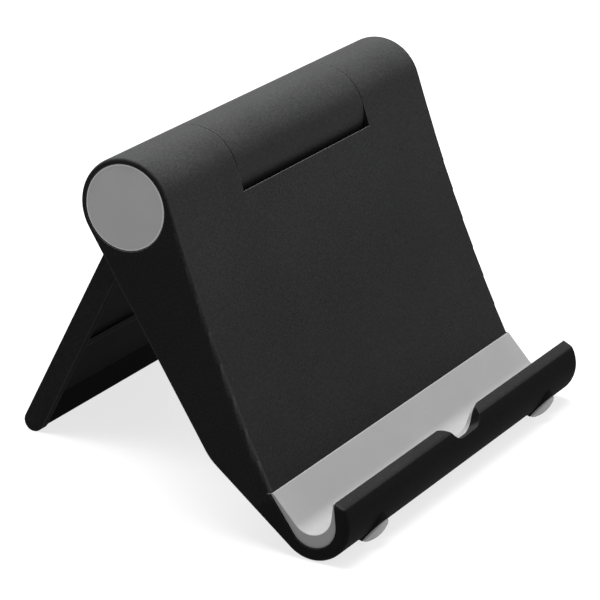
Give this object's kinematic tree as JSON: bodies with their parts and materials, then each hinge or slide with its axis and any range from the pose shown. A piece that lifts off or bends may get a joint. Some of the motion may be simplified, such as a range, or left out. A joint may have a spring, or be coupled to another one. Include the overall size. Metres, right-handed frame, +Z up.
{
  "type": "folding phone stand",
  "caption": "Folding desk stand for a phone: wedge-shaped cradle with a lined trough and notched lip, and a central rear leg on a barrel hinge.",
  "frame": {"origin": "centre of the footprint at floor height, in the standing pose", "axes": "+X along the hinge barrel to the right seen from the front, -Y to the front where the lip is, +Z up"},
  "size_m": [0.1, 0.0826, 0.0666],
  "materials": {
    "body_black": "fine matte moulded texture",
    "cap_grey": "smooth satin grey",
    "liner_grey": "soft matte silicone",
    "pin_steel": "plain drawn steel",
    "spring_steel": "oiled spring steel",
    "inner_plastic": "natural acetal"
  },
  "bodies": {
    "cradle": {"cradle_shell": "body_black", "trough_liner": "liner_grey", "hinge_pin": "pin_steel", "front_foot_left": "liner_grey", "end_cap_left": "cap_grey", "friction_disc_left": "inner_plastic", "hinge_spring_left": "spring_steel", "spring_washer_left": "pin_steel", "push_nut_left": "spring_steel", "front_foot_right": "liner_grey", "end_cap_right": "cap_grey", "friction_disc_right": "inner_plastic", "hinge_spring_right": "spring_steel", "spring_washer_right": "pin_steel", "push_nut_right": "spring_steel"},
    "leg": {"leg_shell": "body_black", "wear_ring_left": "inner_plastic", "pivot_bush_left": "inner_plastic", "wear_ring_right": "inner_plastic", "pivot_bush_right": "inner_plastic"}
  },
  "joints": [
    {"name": "leg_hinge", "type": "hinge", "parent": "cradle", "child": "leg", "pos_m": [0, 0.00615, 0.0576], "axis": [1, 0, 0], "range_deg": [-58.8, 61.2]}
  ]
}
